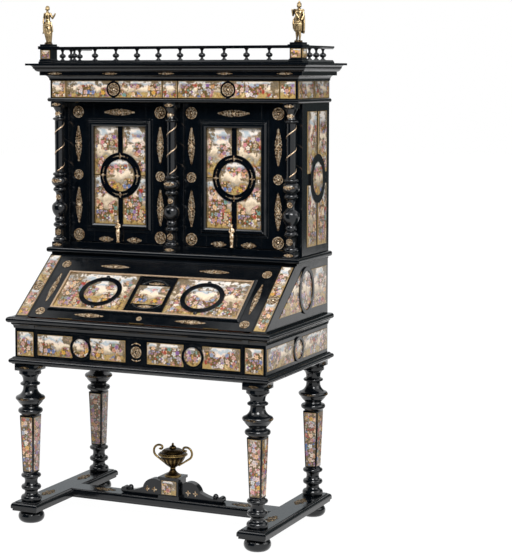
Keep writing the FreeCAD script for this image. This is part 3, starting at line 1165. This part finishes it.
# Enamel plaques of the desk: corner squares, strips on the slope stiles, sides, and the stretcher pedestal
corner_left = drawer_half + LOPER_WIDTH * 0.5
corner_right = CASE_HALF - SIDE_MARGIN
corner_square = tile(corner_left, corner_right, plaque_low - PLAQUE_MARGIN, plaque_high + PLAQUE_MARGIN)
case_plaques = both_sides(on_front([corner_square], CASE_FRONT))
STILE_PLAQUE_HALF = 22.0
STILE_ROUNDEL_RADIUS = 22.0
stile_middle = stile_inner + SLOPE_STILE / 2
stile_split = slope_length * 0.48
stile_space = disc(stile_middle, stile_split, STILE_ROUNDEL_RADIUS + PLAQUE_JOINT / 2, PLAQUE)
stile_sides = (stile_middle - STILE_PLAQUE_HALF, stile_middle + STILE_PLAQUE_HALF)
case_plaques += both_sides(on_slope([
    tile(*stile_sides, PLAQUE_EDGE, stile_split - PLAQUE_EDGE).cut(stile_space),
    tile(*stile_sides, stile_split + PLAQUE_EDGE, slope_length - PLAQUE_EDGE).cut(stile_space),
]))
SIDE_RING = (48.0, 46.0)
SIDE_MEDALLION = (38.0, 36.0)
side_middle_z = (Z_DRAWER + Z_FASCIA) / 2
side_low = side_middle_z - CASE_PLAQUE_HEIGHT / 2
side_high = side_middle_z + CASE_PLAQUE_HEIGHT / 2
side_near = SIDE_RING[0] - PLAQUE_MARGIN
side_ring_space = oval(0, side_middle_z, *SIDE_RING, RING_HEIGHT)
side_tiles = [
    tile(CASE_FRONT + SIDE_MARGIN, -side_near, side_low, side_high).cut(side_ring_space),
    tile(side_near, CASE_BACK - SIDE_MARGIN, side_low, side_high).cut(side_ring_space),
    oval(0, side_middle_z, *SIDE_MEDALLION, PLAQUE),
]
side_rings = [side_ring_space.cut(oval(0, side_middle_z, *SIDE_MEDALLION, RING_HEIGHT))]
SLOPE_OVAL_Y = 75.0
SLOPE_SIDE_RING = (72.0, 88.0)
SLOPE_SIDE_OVAL = (57.0, 73.0)
SLOPE_SIDE_BELOW = 38.0
SLOPE_SIDE_ABOVE = 26.0
SLOPE_SIDE_NEAR = 45.0
WEDGE_TOE = 82.0
slope_side_low = Z_LIP + SLOPE_SIDE_BELOW
slope_side_high = Z_DESK_TOP - SLOPE_SIDE_ABOVE
slope_side_z = (slope_side_low + slope_side_high) / 2
slope_ring_space = oval(SLOPE_OVAL_Y, slope_side_z, *SLOPE_SIDE_RING, RING_HEIGHT)
wedge_back = SLOPE_OVAL_Y - SLOPE_SIDE_NEAR
wedge = prism([(CASE_FRONT + SLOPE_SIDE_BELOW + WEDGE_TOE, slope_side_low), (wedge_back, slope_side_low),
               (wedge_back, slope_side_high)], "z", 0, PLAQUE)
side_tiles += [
    wedge.cut(slope_ring_space),
    tile(SLOPE_OVAL_Y + SLOPE_SIDE_NEAR, CASE_BACK - 2 * SIDE_MARGIN, slope_side_low, slope_side_high).cut(
        slope_ring_space),
    oval(SLOPE_OVAL_Y, slope_side_z, *SLOPE_SIDE_OVAL, PLAQUE),
]
side_rings.append(slope_ring_space.cut(oval(SLOPE_OVAL_Y, slope_side_z, *SLOPE_SIDE_OVAL, RING_HEIGHT)))
case_plaques += both_sides(on_side(side_tiles, CASE_HALF))
PEDESTAL_PLAQUE_HALF = 31.0
pedestal_low = Z_LEG + PEDESTAL_PLINTH + PLAQUE_JOINT
pedestal_high = Z_URN - PEDESTAL_CAP - PLAQUE_JOINT
case_plaques += on_front(
    [tile(-PEDESTAL_PLAQUE_HALF, PEDESTAL_PLAQUE_HALF, pedestal_low, pedestal_high)], -pedestal_die[1] / 2)
save("case_plaques", case_plaques)

# Enamel plaques on the sides of the upper cabinet about a black oval ring
UPPER_RING = (72.0, 92.0)
UPPER_OVAL = (51.0, 63.0)
UPPER_SIDE_BAR = 16.0
UPPER_SIDE_HALF = 96.0
UPPER_SIDE_MARGIN = 32.0
UPPER_SIDE_WAIST = 22.0
upper_side_y = (DOOR_FACE + CASE_BACK) / 2 + SIDE_MARGIN
upper_side_z = (Z_COLUMN + Z_SOFFIT) / 2
upper_side_low = Z_COLUMN + UPPER_SIDE_MARGIN
upper_side_high = Z_SOFFIT - UPPER_SIDE_MARGIN
upper_ring_space = oval(upper_side_y, upper_side_z, *UPPER_RING, RING_HEIGHT)
upper_tiles = []
for side in (-1, 1):
    near = upper_side_y + side * UPPER_SIDE_BAR / 2
    far = upper_side_y + side * UPPER_SIDE_HALF
    for z0, z1 in ((upper_side_low, upper_side_z - UPPER_SIDE_WAIST),
                   (upper_side_z + UPPER_SIDE_WAIST, upper_side_high)):
        upper_tiles.append(tile(min(near, far), max(near, far), z0, z1).cut(upper_ring_space))
upper_tiles.append(oval(upper_side_y, upper_side_z, *UPPER_OVAL, PLAQUE * 2))
save("upper_side_plaques", both_sides(on_side(upper_tiles, UPPER_HALF)))

# Black rings of all the side panels
upper_ring = upper_ring_space.cut(oval(upper_side_y, upper_side_z, *UPPER_OVAL, RING_HEIGHT))
save("side_rings", both_sides(on_side(side_rings, CASE_HALF) + on_side([upper_ring], UPPER_HALF)))

# Gilt mounts of the fixed case: frieze roundels, cornice mounts and roundels on the slope stiles
CORNICE_LENS = (66.0, 9.0)
cornice_lens_z = cove_top + CORNICE_FASCIA_HEIGHT / 2
cornice_lens_x = (0, FRIEZE_ROUND_X, 2 * FRIEZE_ROUND_X)
frieze_roundel = disc(FRIEZE_ROUND_X, frieze_middle, FRIEZE_ROUND_RADIUS)
cabinet_mounts = both_sides(on_front([frieze_roundel], FRIEZE_FRONT))
cabinet_mounts += both_sides(on_slope([disc(stile_middle, stile_split, STILE_ROUNDEL_RADIUS)]))
cornice_mounts = [lens(x, cornice_lens_z, *CORNICE_LENS) for x in cornice_lens_x]
cornice_mounts += [lens(-x, cornice_lens_z, *CORNICE_LENS) for x in cornice_lens_x[1:]]
cabinet_mounts += on_front(cornice_mounts, FRIEZE_FRONT - CORNICE_FASCIA_OUT)
save("cabinet_mounts", cabinet_mounts)
